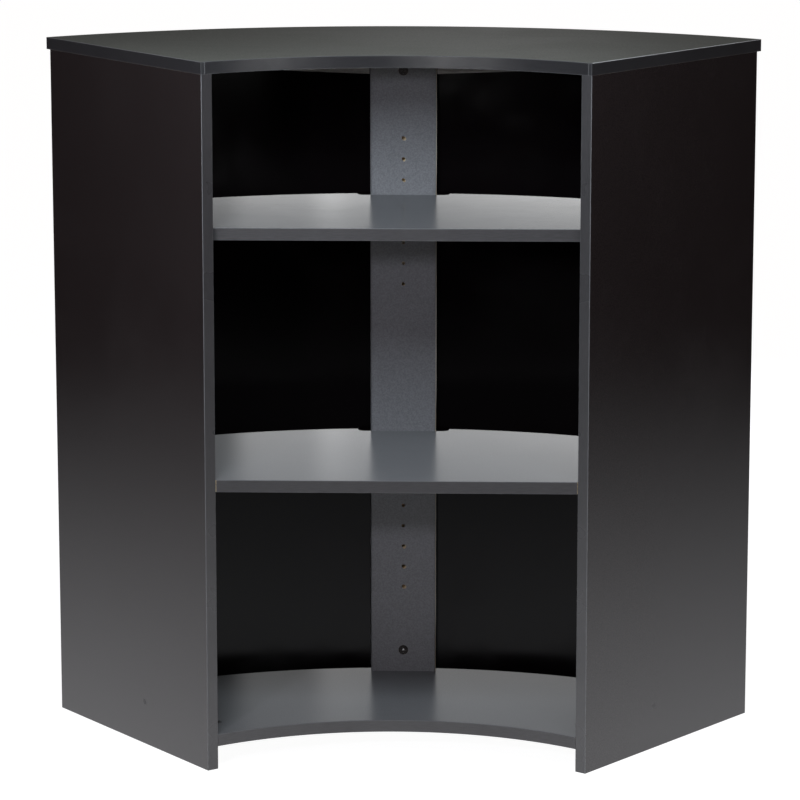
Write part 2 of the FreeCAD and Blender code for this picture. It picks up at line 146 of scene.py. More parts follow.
@dataclass(frozen=True)
class Plan:
    """Ring sector that the boards follow, about the point where the side panels would meet."""

    half_angle: float = radians(37.5)
    inner: float = 0.453
    side_rear: float = 0.869
    top_rear: float = 0.879
    body: float = 0.747
    body_wall: float = 0.003
    seat: float = 0.0002
    board: float = 0.018
    band: float = 0.0008
    side_height: float = 1.022
    floor_gap: float = 0.034
    groove: float = 0.005
    stile_half: float = 0.05

    @property
    def centre(self) -> Array:
        """Centre of the ring in the part's frame."""
        return np.array([0.0, -(self.inner * cos(self.half_angle) + self.top_rear) / 2, 0.0])

    @property
    def stile_back(self) -> float:
        """Depth of the face of the stile that leans on the bent panel."""
        reach = sqrt((self.body - self.seat) ** 2 - self.stile_half ** 2)
        return reach + float(self.centre[1])

    def along(self, side: Side) -> Array:
        """Unit vector along a side panel, away from the server."""
        return np.array([side.value * sin(self.half_angle), cos(self.half_angle), 0.0])

    def inward(self, side: Side) -> Array:
        """Unit vector square to a side panel, into the cabinet."""
        return np.array([-side.value * cos(self.half_angle), sin(self.half_angle), 0.0])

    def on_side(self, side: Side, distance: float, inset: float, height: float) -> Array:
        """Find a point beside a side panel.

        Args:
            side: the side panel.
            distance: distance along the panel, from the centre of the ring.
            inset: distance inside the panel's outer face.
            height: height above the floor.

        Returns:
            The point, as three numbers.
        """
        step = self.along(side) * distance + self.inward(side) * inset
        return self.centre + step + UP * height

    def chord_half(self, depth: float, inset: float) -> float:
        """Half length of a straight front at a depth, between lines inside the side panels.

        Args:
            depth: y of the front in the part's frame.
            inset: distance of the lines inside the panels' outer faces.

        Returns:
            Half of the front's length.
        """
        reach = depth - float(self.centre[1])
        distance = (reach - inset * sin(self.half_angle)) / cos(self.half_angle)
        return distance * sin(self.half_angle) - inset * cos(self.half_angle)


# Meshes


@dataclass(frozen=True)
class BandShape:
    """Cross section of an edge band: flat face, rounded arrises and a tongue behind the board."""

    width: float = 0.018
    depth: float = 0.0008
    radius: float = 0.0006
    brace: float = 0.0004
    tuck: float = 0.0006
    sink: float = 0.00005
    steps: int = 4

    def outline(self) -> tuple[Array, Array]:
        """Work out the section, with x out of the face and y across it.

        Each arris is a quarter circle, (r cos t - r, h - r + r sin t) for t from 0 to 90 degrees.
        Short flat stretches beside it keep the broad faces flat, and the tongue lies a little
        below the board's faces.

        Returns:
            The closed outline as rows of x and y, and for each point 1 on the upper arris, -1 on
            the lower one, else 0.
        """
        half, radius = self.width / 2, self.radius
        turn = np.linspace(0.0, np.pi / 2, self.steps + 1)
        arc = np.stack([radius * np.cos(turn) - radius, half - radius + radius * np.sin(turn)], 1)
        back, sunk = -self.depth, half - self.sink
        tongue = np.array([[back, half], [back, sunk], [back - self.tuck, sunk]])
        upper = np.concatenate([[[0.0, half - radius - self.brace]], arc, tongue])
        lower = upper[::-1] * np.array([1.0, -1.0])
        marked = np.concatenate([[0.0], np.ones(len(arc)), np.zeros(len(tongue))])
        return np.concatenate([lower, upper]), np.concatenate([-marked[::-1], marked])


def loft_faces(count: int, size: int, forward: bool) -> list[list[int]]:
    """Join rings of points that follow one another into a closed skin.

    Point j of ring i has the index i * size + j.  Each face joins two neighbours of one ring to
    the same two of the next, and one face closes each end.

    Args:
        count: number of rings.
        size: points of each ring.
        forward: whether the rings run along the axis about which their points turn.

    Returns:
        The faces, pointing outwards.
    """
    index = np.arange(count * size).reshape(count, size)
    after = np.roll(index, -1, axis=1)
    quads = np.stack([index[:-1], after[:-1], after[1:], index[1:]], axis=-1).reshape(-1, 4)
    first, last = index[0, ::-1], index[-1]
    if not forward:
        quads, first, last = quads[:, ::-1], first[::-1], last[::-1]
    return quads.tolist() + [first.tolist(), last.tolist()]


def add_mesh(name: str, points: Array, faces: list[list[int]]) -> Piece:
    """Make an object of points and faces, smooth where it is round and flat where it is flat.

    Args:
        name: name of the object.
        points: points as rows of x, y and z.
        faces: rows of point numbers.

    Returns:
        The new object, at the origin.
    """
    mesh = bpy.data.meshes.new(name)
    mesh.from_pydata(points.tolist(), [], faces)
    mesh.update()
    mesh.shade_smooth()
    mesh.set_sharp_from_angle(angle=SHARP_TURN)
    piece = bpy.data.objects.new(name, mesh)
    bpy.context.scene.collection.objects.link(piece)
    weighted = piece.modifiers.new("flat_faces", "WEIGHTED_NORMAL")
    weighted.keep_sharp = True
    weighted.weight = FLAT_WEIGHT
    return piece


def add_values(piece: Piece, name: str, values: Array) -> None:
    """Store one number or one vector for each point of a piece.

    Args:
        piece: the piece.
        name: name of the attribute.
        values: one row for each point.
    """
    kind, field = ("FLOAT", "value") if values.ndim == 1 else ("FLOAT_VECTOR", "vector")
    layer = piece.data.attributes.new(name, kind, "POINT")
    layer.data.foreach_set(field, values.astype(np.float32).ravel())


def path_length(points: Array) -> Array:
    """Length of a path from its start to each of its points."""
    return np.concatenate([[0.0], np.cumsum(np.linalg.norm(np.diff(points, axis=0), axis=1))])


def carry_band(name: str, path: Array, across: Array, upright: Array, shape: BandShape) -> Piece:
    """Carry the section of a band along a path.

    Point (i, j) is path[i] + across[i] * x[j] + upright * y[j].  The attribute run holds the
    length along the path and round the section, and arris is 1 on the upper rounded edge and -1 on
    the lower one.

    Args:
        name: name of the piece.
        path: points in the middle of the band's face.
        across: for each point, the unit vector out of the face.
        upright: unit vector across the band.
        shape: section of the band.

    Returns:
        The piece.
    """
    section, marked = shape.outline()
    rings = (
        path[:, None, :]
        + across[:, None, :] * section[None, :, 0, None]
        + upright[None, None, :] * section[None, :, 1, None]
    )
    forward = float(np.cross(across[0], upright) @ (path[1] - path[0])) > 0
    count, size = rings.shape[:2]
    piece = add_mesh(name, rings.reshape(-1, 3), loft_faces(count, size, forward))
    length, girth = path_length(path), path_length(section)
    run = np.stack(np.broadcast_arrays(length[:, None], girth[None, :], 0.0), axis=-1)
    add_values(piece, "run", run.reshape(-1, 3))
    add_values(piece, "arris", np.tile(marked, count))
    return piece


def stand_for(piece: Piece, node: str, body: Body) -> Piece:
    """Let a piece ride on a body in place of a CAD node.

    Args:
        piece: the new piece.
        node: name of the CAD node.
        body: body that the piece rides on.

    Returns:
        The piece.
    """
    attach(piece, body.value)
    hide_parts(node)
    return piece


# Wiring of materials


class Wiring:
    """Adds and joins the nodes of one material, node group or world."""

    def __init__(self, tree: bpy.types.NodeTree) -> None:
        """Keep the tree that nodes are added to."""
        self.tree = tree

    def join(self, value: Value, socket: Socket) -> None:
        """Link an input to another socket, or set it to a value.

        Args:
            value: the other socket, or the value.
            socket: the input.
        """
        if isinstance(value, Socket):
            self.tree.links.new(value, socket)
        else:
            socket.default_value = value

    def add(self, kind: str, inputs: dict | None = None, **settings: object) -> bpy.types.Node:
        """Add a node.

        Args:
            kind: type of the node, without its prefix.
            inputs: values or sockets for its inputs, by name or number.
            settings: properties of the node.

        Returns:
            The node.
        """
        node = self.tree.nodes.new("ShaderNode" + kind)
        for key, setting in settings.items():
            setattr(node, key, setting)
        for key, value in (inputs or {}).items():
            self.join(value, node.inputs[key])
        return node

    def math(self, operation: str, first: Value, second: Value = 0.0) -> Socket:
        """Result of a sum, product or comparison of two values."""
        return self.add("Math", {0: first, 1: second}, operation=operation).outputs[0]

    def times(self, first: Value, second: Value) -> Socket:
        """Product of two values."""
        return self.math("MULTIPLY", first, second)

    def vector(self, operation: str, first: Value, second: Value) -> bpy.types.NodeOutputs:
        """Outputs of a calculation with two vectors."""
        return self.add("VectorMath", {0: first, 1: second}, operation=operation).outputs

    def spread(self, value: Value, source: Span, target: Span = UNIT, smooth: bool = True) -> Socket:
        """Move a value from one range to another, and hold it there.

        Args:
            value: the value.
            source: range that the value comes from.
            target: range that it is moved to.
            smooth: whether it eases in and out.

        Returns:
            The new value.
        """
        inputs = {"Value": value, "From Min": source[0], "From Max": source[1]}
        inputs.update({"To Min": target[0], "To Max": target[1]})
        kind = "SMOOTHSTEP" if smooth else "LINEAR"
        return self.add("MapRange", inputs, interpolation_type=kind).outputs["Result"]

    def blend(self, share: Value, first: Value, second: Value) -> Socket:
        """Mix two values by a share."""
        return self.add("Mix", {0: share, 2: first, 3: second}, data_type="FLOAT").outputs[0]

    def tint(self, share: Value, first: Value, second: Value) -> Socket:
        """Mix two colours by a share.

        Args:
            share: share of the second colour.
            first: colour or socket at the share nought.
            second: colour or socket at the share one.

        Returns:
            The colour.
        """
        inputs = {0: share}
        for key, value in ((6, first), (7, second)):
            inputs[key] = value if isinstance(value, Socket) else (*value, 1.0)
        return self.add("Mix", inputs, data_type="RGBA").outputs[2]

    def noise(self, place: Value, scale: Value, detail: float = 3.0, rough: float = 0.6) -> Socket:
        """Cloudy value about one half.

        Args:
            place: where it is read.
            scale: clouds in a metre.
            detail: number of finer layers.
            rough: weight of the finer layers.

        Returns:
            The value.
        """
        inputs = {"Vector": place, "Scale": scale, "Detail": detail, "Roughness": rough}
        return self.add("TexNoise", inputs).outputs[0]

    def here(self) -> Socket:
        """Place on the object, in the part's frame."""
        return self.add("TexCoord").outputs["Object"]

    def stored(self, name: str, kind: str = "Fac") -> Socket:
        """Attribute that is stored with the points of a piece."""
        return self.add("Attribute", attribute_name=name).outputs[kind]

    def stretch(self, place: Value, scale: Colour, turn: Colour = (0.0, 0.0, 0.0)) -> Socket:
        """Place in a turned and stretched frame."""
        return self.add("Mapping", {"Vector": place, "Scale": scale, "Rotation": turn}).outputs[0]

    def place(self, effect: Effect, **inputs: Value) -> bpy.types.NodeOutputs:
        """Place the node group of an effect with its own values, and give its outputs."""
        return self.add("Group", inputs, node_tree=bpy.data.node_groups[effect.value]).outputs

    def light(self, kind: str, strength: Value, colour: Colour = WHITE) -> Socket:
        """Shader of a surface or background that gives light."""
        return self.add(kind, {"Color": (*colour, 1.0), "Strength": strength}).outputs[0]

    def matt(self, level: float) -> Socket:
        """Shader of a matt grey surface."""
        return self.add("BsdfDiffuse", {"Color": (level, level, level, 1.0)}).outputs[0]

    def clear(self) -> Socket:
        """Shader of a surface that lets everything pass."""
        return self.add("BsdfTransparent").outputs[0]

    def behind(self) -> Socket:
        """One at the back of a surface, nought at its front."""
        return self.add("NewGeometry").outputs["Backfacing"]

    def either(self, share: Value, first: Socket, second: Socket) -> Socket:
        """Mix two shaders by a share."""
        return self.add("MixShader", {0: share, 1: first, 2: second}).outputs[0]

    def show(self, shader: Socket, output: str = "Material Output") -> None:
        """Join a shader to the surface of the output."""
        self.join(shader, self.tree.nodes[output].inputs["Surface"])


class Group(Wiring):
    """Node group of an effect, with named sockets."""

    def __init__(self, effect: Effect, inputs: tuple[str, ...], outputs: tuple[str, ...]) -> None:
        """Start the group.

        Args:
            effect: the effect.
            inputs: names of the inputs.
            outputs: names of the outputs.
        """
        super().__init__(bpy.data.node_groups.new(effect.value, "ShaderNodeTree"))
        for ways, names in (("INPUT", inputs), ("OUTPUT", outputs)):
            for name in names:
                kind = "NodeSocket" + SOCKET_KINDS.get(name, "Float")
                self.tree.interface.new_socket(name, in_out=ways, socket_type=kind)
        self.source = self.tree.nodes.new("NodeGroupInput")
        self.sink = self.tree.nodes.new("NodeGroupOutput")

    def given(self, name: str) -> Socket:
        """Input of the group."""
        return self.source.outputs[name]

    def give(self, name: str, value: Value) -> None:
        """Join a value to an output of the group."""
        self.join(value, self.sink.inputs[name])


# Shader effects that several finishes share


def pressed_texture() -> None:
    """Texture that the press plate leaves in a laminate: soft pits with finer grit on them."""
    group = Group(Effect.PRESSED, ("Vector", "Scale"), ("Height", "Tone"))
    place, scale = group.given("Vector"), group.given("Scale")
    pit_share, grit_share, finer, tones = 0.6, 0.4, 2.7, (0.36, 0.64)
    pits = group.noise(place, scale, detail=2.0)
    grit = group.noise(place, group.times(scale, finer), rough=0.7)
    height = group.math("ADD", group.times(pits, pit_share), group.times(grit, grit_share))
    group.give("Height", height)
    group.give("Tone", group.spread(height, tones))


def handling_marks() -> None:
    """Broad cloudy haze and short wiping streaks that hands and cloths leave."""
    group = Group(Effect.HANDLED, ("Vector", "Scale"), ("Haze", "Streaks"))
    place, scale = group.given("Vector"), group.given("Scale")
    turn, narrow, finer = (0.4, 0.3, 0.5), (1.0, 9.0, 5.0), 1.6
    hazy, wiped = (0.42, 0.68), (0.52, 0.78)
    haze = group.noise(place, scale, detail=4.0)
    wipes = group.noise(group.stretch(place, narrow, turn), group.times(scale, finer), detail=2.0)
    group.give("Haze", group.spread(haze, hazy))
    group.give("Streaks", group.spread(wipes, wiped))


def raw_core() -> None:
    """Mask of the raw board between the two laminated faces, by distance along an axis."""
    group = Group(Effect.CORE, ("Vector", "Axis", "Low", "High"), ("Core",))
    distance = group.vector("DOT_PRODUCT", group.given("Vector"), group.given("Axis"))["Value"]
    above = group.math("GREATER_THAN", distance, group.given("Low"))
    below = group.math("LESS_THAN", distance, group.given("High"))
    group.give("Core", group.times(above, below))


def wood_chips() -> None:
    """Pressed wood chips: small cells, each of its own tone, with dark gaps between them."""
    group = Group(Effect.CHIPS, ("Vector", "Scale"), ("Colour", "Height"))
    flat, gap_share, gap_range = (1.0, 1.0, 2.2), 0.4, (0.35, 0.75)
    place = group.stretch(group.given("Vector"), flat)
    cells = group.add("TexVoronoi", {"Vector": place, "Scale": group.given("Scale")}).outputs
    ramp = group.add("ValToRGB", {0: group.add("SeparateColor", {0: cells["Color"]}).outputs[0]})
    for stop, colour in zip(ramp.color_ramp.elements, (screen(188, 160, 120), screen(238, 220, 184))):
        stop.color = (*colour, 1.0)
    gap = group.spread(cells["Distance"], gap_range)
    shade = group.tint(group.times(gap, gap_share), ramp.outputs[0], screen(104, 80, 54))
    group.give("Colour", shade)
    group.give("Height", group.math("SUBTRACT", 1.0, gap))


def arris_wear() -> None:
    """Rubbed patches along an arris, broken up by a cloudy value."""
    group = Group(Effect.WORN, ("Vector", "Arris", "Scale"), ("Wear",))
    cloudy, patchy = (0.35, 0.7), (0.25, 1.0)
    cloud = group.noise(group.given("Vector"), group.given("Scale"), detail=5.0, rough=0.65)
    group.give("Wear", group.times(group.given("Arris"), group.spread(cloud, cloudy, patchy)))


def chipped_rim() -> None:
    """Ragged patch about a point: broken laminate about the stile's holes, and the foot cam's painted
    glint.
    """
    group = Group(Effect.CHIPPED, ("Vector", "Centre", "Reach"), ("Chip",))
    raggedness, rim, broken = 700.0, (1.3, 1.5), (1.0, 0.0)
    place, reach = group.given("Vector"), group.given("Reach")
    away = group.vector("DISTANCE", place, group.given("Centre"))["Value"]
    ragged = group.times(group.noise(place, raggedness), reach)
    share = group.math("DIVIDE", group.math("ADD", away, ragged), reach)
    group.give("Chip", group.spread(share, rim, broken))


# Finishes


@dataclass(frozen=True)
class Finish:
    """Finish of a surface: two tones, a gloss, and the strength and depth of a fine relief."""

    name: str
    dark: Colour
    light: Colour
    roughness: float = 0.4
    specular: float = 0.5
    press: float = 0.4
    relief: float = 0.00008

    def look(self, wiring: Wiring) -> dict[str, Value]:
        """Inputs of the shader and the height of the relief, which each finish has of its own."""
        raise NotImplementedError

    def make(self) -> bpy.types.Material:
        """Build the material.

        Returns:
            The material.
        """
        material = bpy.data.materials.new(self.name)
        material.use_nodes = True
        wiring = Wiring(material.node_tree)
        look = self.look(wiring)
        relief = {"Height": look.pop("Height"), "Strength": self.press, "Distance": self.relief}
        look["Normal"] = wiring.add("Bump", relief).outputs[0]
        look["Specular IOR Level"] = self.specular
        shader = material.node_tree.nodes["Principled BSDF"]
        for key, value in look.items():
            wiring.join(value, shader.inputs[key])
        return material


@dataclass(frozen=True)
class Core:
    """Raw board between two faces: an axis and the two limits along it."""

    axis: Colour
    low: float
    high: float
    skin: float = 0.0003


@dataclass(frozen=True, kw_only=True)
class BoardFinish(Finish):
    """Laminate pressed on chipboard, with raw chips inside holes and on bare edges."""

    core: Core
    grain: float
    rubbed: float
    haze: float
    streaks: float = 0.04
    rims: tuple[tuple[Colour, float], ...] = ()
    clouds: float = 5.0
    haze_gain: float = 1.6
    haze_lift: float = 0.004
    chip_grain: float = 420.0
    chip_relief: float = 6.0
    raw_roughness: float = 0.85
    press: float = 0.6

    def look(self, wiring: Wiring) -> dict[str, Value]:
        """Work out the surface.

        Args:
            wiring: wiring of the material.

        Returns:
            Inputs of the shader and the height of the relief.
        """
        place = wiring.here()
        pressed = wiring.place(Effect.PRESSED, Vector=place, Scale=self.grain)
        handled = wiring.place(Effect.HANDLED, Vector=place, Scale=self.clouds)
        low, high = self.core.low + self.core.skin, self.core.high - self.core.skin
        core = wiring.place(Effect.CORE, Vector=place, Axis=self.core.axis, Low=low, High=high)["Core"]
        # Rim patches show raw chips: partly real chipping, partly a painted highlight of lit hole walls.
        for centre, reach in self.rims:
            broken = wiring.place(Effect.CHIPPED, Vector=place, Centre=centre, Reach=reach)["Chip"]
            core = wiring.math("MAXIMUM", core, broken)
        chips = wiring.place(Effect.CHIPS, Vector=place, Scale=self.chip_grain)
        face = wiring.tint(pressed["Tone"], self.dark, self.light)
        lifted = tuple(self.haze_gain * value + self.haze_lift for value in self.light)
        hazed = wiring.tint(wiring.times(handled["Haze"], self.haze), face, lifted)
        gloss = wiring.blend(handled["Haze"], self.roughness, self.rubbed)
        gloss = wiring.math("ADD", gloss, wiring.times(handled["Streaks"], self.streaks))
        raised = wiring.times(chips["Height"], self.chip_relief)
        return {
            "Base Color": wiring.tint(core, hazed, chips["Colour"]),
            "Roughness": wiring.blend(core, gloss, self.raw_roughness),
            "Height": wiring.blend(core, pressed["Height"], raised),
        }


@dataclass(frozen=True, kw_only=True)
class BandFinish(Finish):
    """Plastic edge band with a fine lengthwise grain, rubbed arrises and pale lines: painted highlights
    along the arrises and at the top's seams, and glue lines on the stile's bands.
    """

    # Colour of the rubbed patches and of the pale lines: painted highlights on most bands, glue lines on
    # the stile's.
    rub: Colour
    upper_line: float = 0.0
    lower_line: float = 0.0
    roughness: float = 0.36
    less_rough: float = 0.05
    more_rough: float = 0.06
    fibres: Colour = (60.0, 900.0, 1.0)
    tones: Span = (0.32, 0.68)
    shine: Span = (0.3, 0.7)
    clouds: float = 9.0
    patches: float = 70.0
    wear_share: float = 0.1
    press: float = 0.35

    def look(self, wiring: Wiring) -> dict[str, Value]:
        """Work out the surface.

        Args:
            wiring: wiring of the material.

        Returns:
            Inputs of the shader and the height of the relief.
        """
        run, arris = wiring.stored("run", "Vector"), wiring.stored("arris")
        grain = wiring.noise(wiring.stretch(run, self.fibres), 1.0, detail=4.0, rough=0.65)
        either = wiring.math("ABSOLUTE", arris)
        wear = wiring.place(Effect.WORN, Vector=run, Arris=either, Scale=self.patches)["Wear"]
        pale = wiring.times(wear, self.wear_share)
        # Upper and lower lines are painted highlights along the arrises, and glue lines on the stile's
        # bands; the stored seam values are painted highlights at the top's seams.
        upper, lower = wiring.times(arris, self.upper_line), wiring.times(arris, -self.lower_line)
        for line in (upper, lower, wiring.stored("seam")):
            pale = wiring.math("MAXIMUM", pale, line)
        face = wiring.tint(wiring.spread(grain, self.tones), self.dark, self.light)
        gloss = (self.roughness - self.less_rough, self.roughness + self.more_rough)
        return {
            "Base Color": wiring.tint(pale, face, self.rub),
            "Roughness": wiring.spread(wiring.noise(run, self.clouds), self.shine, gloss),
            "Height": grain,
        }


@dataclass(frozen=True)
class LacquerFinish(Finish):
    """Thin hardboard, lacquered over a fine felt-like surface."""

    grain: float = 520.0
    clouds: float = 4.0
    dulled: float = 0.12
    press: float = 0.5
    relief: float = 0.00005

    def look(self, wiring: Wiring) -> dict[str, Value]:
        """Work out the surface.

        Args:
            wiring: wiring of the material.

        Returns:
            Inputs of the shader and the height of the relief.
        """
        place = wiring.here()
        pressed = wiring.place(Effect.PRESSED, Vector=place, Scale=self.grain)
        handled = wiring.place(Effect.HANDLED, Vector=place, Scale=self.clouds)
        return {
            "Base Color": wiring.tint(pressed["Tone"], self.dark, self.light),
            "Roughness": wiring.blend(handled["Haze"], self.roughness, self.roughness + self.dulled),
            "Height": pressed["Height"],
        }


@dataclass(frozen=True)
class PlasticFinish(LacquerFinish):
    """Moulded plastic, with a spark-eroded surface that is like lacquer, but finer."""

    roughness: float = 0.42
    grain: float = 1500.0
    clouds: float = 90.0
    relief: float = 0.00004


@dataclass(frozen=True)
class MetalFinish(Finish):
    """Cast or plated metal with a cloudy tarnish and fine scratches, and a painted glint if any."""

    mark: Colour | None = None
    mark_reach: float = 0.0016
    mark_plane: Colour = (1.0, 0.0, 1.0)
    mark_colour: Colour = screen(246, 246, 244)
    grain: float = 900.0
    clouds: float = 160.0
    dulled: float = 0.15

    def look(self, wiring: Wiring) -> dict[str, Value]:
        """Work out the surface.

        Args:
            wiring: wiring of the material.

        Returns:
            Inputs of the shader and the height of the relief.
        """
        place = wiring.here()
        handled = wiring.place(Effect.HANDLED, Vector=place, Scale=self.clouds)
        colour = wiring.tint(handled["Haze"], self.light, self.dark)
        metal: Value = 1.0
        # Painted glint: a near-white, non-metallic patch that stands for a highlight.
        if self.mark:
            flat = wiring.vector("MULTIPLY", place, self.mark_plane)["Vector"]
            marked = wiring.place(Effect.CHIPPED, Vector=flat, Centre=self.mark, Reach=self.mark_reach)
            colour = wiring.tint(marked["Chip"], colour, self.mark_colour)
            metal = wiring.math("SUBTRACT", 1.0, marked["Chip"])
        return {
            "Base Color": colour,
            "Metallic": metal,
            "Roughness": wiring.blend(handled["Streaks"], self.roughness, self.roughness + self.dulled),
            "Height": wiring.place(Effect.PRESSED, Vector=place, Scale=self.grain)["Height"],
        }


@dataclass(frozen=True, kw_only=True)
class WoodFinish(Finish):
    """Bare or primed wood with a grain along one axis."""

    fibres: Colour
    tones: Span = (0.32, 0.7)
    shine: Span = (0.3, 0.7)
    roughness: float = 0.6
    grain: float = 700.0
    grain_share: float = 0.3
    dulled: float = 0.12
    relief: float = 0.0002

    def look(self, wiring: Wiring) -> dict[str, Value]:
        """Work out the surface.

        Args:
            wiring: wiring of the material.

        Returns:
            Inputs of the shader and the height of the relief.
        """
        place = wiring.here()
        grain = wiring.noise(wiring.stretch(place, self.fibres), 1.0, detail=5.0, rough=0.65)
        pressed = wiring.place(Effect.PRESSED, Vector=place, Scale=self.grain)["Height"]
        gloss = (self.roughness, self.roughness + self.dulled)
        return {
            "Base Color": wiring.tint(wiring.spread(grain, self.tones), self.light, self.dark),
            "Roughness": wiring.spread(grain, self.shine, gloss),
            "Height": wiring.math("ADD", grain, wiring.times(pressed, self.grain_share)),
        }


def dress(thing: Piece, *materials: bpy.types.Material) -> None:
    """Give an object its materials, in order.

    Args:
        thing: piece or CAD node.
        materials: materials for its slots.
    """
    thing.data.materials.clear()
    for material in materials:
        thing.data.materials.append(material)


def coat(finish: Finish, *things: Piece) -> None:
    """Make a finish and give it to some objects.

    Args:
        finish: the finish.
        things: pieces or CAD nodes.
    """
    material = finish.make()
    for thing in things:
        dress(thing, material)


# Sub-assemblies


@dataclass(frozen=True)
class Assembly:
    """Sub-assembly of the cabinet: CAD nodes, and new pieces that stand for some of them."""

    plan: Plan
    nodes: dict[str, Piece]


@dataclass(frozen=True)
class Banded(Assembly):
    """Boards whose edge bands have one section."""

    shape: BandShape = BandShape()

    def band(
        self, stem: str, path: Array, across: Array, upright: Array = UP, body: Body = Body.CARCASS,
    ) -> Piece:
        """Carry a band along a path, in place of the CAD band of the same stem.

        Args:
            stem: start of the names of the piece and of the CAD node.
            path: points in the middle of the band's face.
            across: the unit vector out of the face, for each point or for all.
            upright: unit vector across the band.
            body: body that the piece rides on.

        Returns:
            The piece.
        """
        outward = np.broadcast_to(across, path.shape)
        piece = carry_band(f"{stem}_edge", path, outward, upright, self.shape)
        return stand_for(piece, f"{stem}_band", body)


@dataclass(frozen=True)
class TopBoard(Banded):
    """Top of the bar: a ring sector with a band on each of its four edges."""

    steps: int = 120
    seam_inset: float = 0.006
    seam_depth: float = 0.0003
    seam_width: float = 0.0006
    seam_reach: float = 3.0
    seam_points: int = 13
    corner_reach: float = 2.0
    corner_points: int = 6
    # Shares of the painted highlights on the front band's seam lines and corners, and of the faint strip
    # between them.
    line_share: float = 0.08
    strip_share: float = 0.012
    # Strengths of the painted highlights on the upper and lower arrises of the left and the right side
    # band.
    side_lines: tuple[Span, Span] = ((0.15, 0.08), (0.9, 0.03))

    @property
    def middle(self) -> float:
        """Height of the middle of the bands."""
        return self.plan.side_height + self.shape.width / 2

    def _line(self, distance: Array) -> Array:
        """Share of a seam's line at some distances from its middle, exp(-(d / width) ** 2)."""
        return np.exp(-((distance / self.seam_width) ** 2))

    def _round_band(self, stem: str, radius: float, outward: float, seams: bool) -> Piece:
        """Band along a round edge, (r sin a, r cos a) about the ring's centre.

        At a seam the face sinks by depth * exp(-(distance / width) ** 2).  The seam attribute holds
        painted highlights: pale on that line and at the corner, and a little pale between them.

        Args:
            stem: start of the names of the piece and of the CAD node.
            radius: radius of the band's face.
            outward: 1 if the face looks away from the ring's centre, -1 if towards it.
            seams: whether the end grain of the side bands shows as a seam near both ends.

        Returns:
            The piece.
        """
        limit = self.plan.half_angle
        turns = np.linspace(-limit, limit, self.steps + 1)
        if seams:
            line = self.seam_inset / self.seam_width
            line = line + np.linspace(-self.seam_reach, self.seam_reach, self.seam_points)
            ends = np.linspace(0.0, self.corner_reach, self.corner_points)[1:]
            near = np.concatenate([line, ends]) * self.seam_width / radius
            turns = np.unique(np.concatenate([turns, near - limit, limit - near]))
        corner = (limit - np.abs(turns)) * radius
        distance = corner - self.seam_inset
        sunk = self.seam_depth * self._line(distance) * seams
        path = self.plan.centre + radial(turns) * (radius - outward * sunk)[:, None] + UP * self.middle
        piece = self.band(stem, path, radial(turns) * outward)
        if seams:
            # Painted highlights on the seam's line and at the corner, and faintly between them.
            pale = self.line_share * (self._line(distance) + self._line(corner))
            pale = np.clip(pale + self.strip_share * (distance < 0.0), 0.0, 1.0)
            add_values(piece, "seam", np.repeat(pale, len(piece.data.vertices) // len(pale)))
        return piece

    def build(self) -> list[Piece]:
        """Build the four bands.

        Returns:
            The new pieces.
        """
        plan = self.plan
        pieces = [
            self._round_band("top_front", plan.inner, -1.0, True),
            self._round_band("top_rear", plan.top_rear, 1.0, False),
        ]
        for side in Side:
            start = plan.on_side(side, plan.inner + plan.band, 0.0, self.middle)
            end = plan.on_side(side, plan.top_rear - plan.band, 0.0, self.middle)
            pieces.append(self.band(f"top_{side.word}", np.stack([start, end]), -plan.inward(side)))
        return pieces

    def dress(self, pieces: list[Piece]) -> None:
        """Give the board and its bands their finishes.

        Args:
            pieces: the new bands.
        """
        bottom = self.plan.side_height
        board = BoardFinish(
            "top_laminate", screen(83, 83, 77), screen(105, 105, 97), specular=0.16, relief=0.0001,
            core=Core(tuple(UP), bottom, bottom + self.plan.board), roughness=0.5, rubbed=0.56,
            grain=330.0, haze=0.1)
        coat(board, self.nodes["top_panel"])
        # The pale arris lines of these bands are painted highlights.
        gloss = {"rub": PALE_LINE, "roughness": 0.32, "specular": 0.6}
        round_band = BandFinish(
            "top_edge_band", screen(33, 32, 33), screen(40, 39, 40), upper_line=0.08, **gloss)
        coat(round_band, *pieces[:2])
        # The side bands take lighter tones than the round ones: painted light, for the light that falls
        # on them.
        for piece, (upper, lower) in zip(pieces[2:], self.side_lines):
            band = BandFinish(
                f"{piece.name}_band", screen(42, 40, 41), screen(50, 48, 49), upper_line=upper,
                lower_line=lower, **gloss)
            coat(band, piece)


@dataclass(frozen=True)
class SidePanels(Banded):
    """Two side panels that stand on the floor, banded at the front and at the rear."""

    def build(self) -> list[Piece]:
        """Build the upright bands of both panels.

        Returns:
            The new pieces.
        """
        plan, pieces = self.plan, []
        for side in Side:
            for place, distance, ways in (("front", plan.inner, -1.0), ("rear", plan.side_rear, 1.0)):
                foot = plan.on_side(side, distance, plan.board / 2, 0.0)
                path = np.stack([foot, foot + UP * plan.side_height])
                outward, stem = plan.along(side) * ways, f"{side.word}_side_{place}"
                pieces.append(self.band(stem, path, outward, plan.inward(side)))
        return pieces

    def dress(self, pieces: list[Piece]) -> None:
        """Give the panels and their bands their finishes.

        Args:
            pieces: the new bands.
        """
        # The right bands take lighter tones than the left: painted light, for the light from the left
        # that falls more on them.
        tones = {
            Side.LEFT: (screen(46, 44, 44), screen(54, 51, 51)),
            Side.RIGHT: (screen(53, 52, 52), screen(63, 61, 61)),
        }
        for side in Side:
            axis = self.plan.inward(side)
            face = float(axis @ self.plan.centre)
            panel = BoardFinish(
                f"{side.word}_side_laminate", *OUTER_TONES, specular=0.38, relief=0.00003,
                core=Core(tuple(axis), face, face + self.plan.board), roughness=0.17, rubbed=0.22,
                grain=520.0, haze=0.05)
            coat(panel, self.nodes[f"{side.word}_side_panel"])
            # The pale line on each band's outer arris is a painted highlight.
            band = BandFinish(
                f"{side.word}_side_band", *tones[side], rub=screen(196, 196, 196), roughness=0.3,
                specular=0.6, lower_line=0.2)
            coat(band, *(piece for piece in pieces if side.word in piece.name))


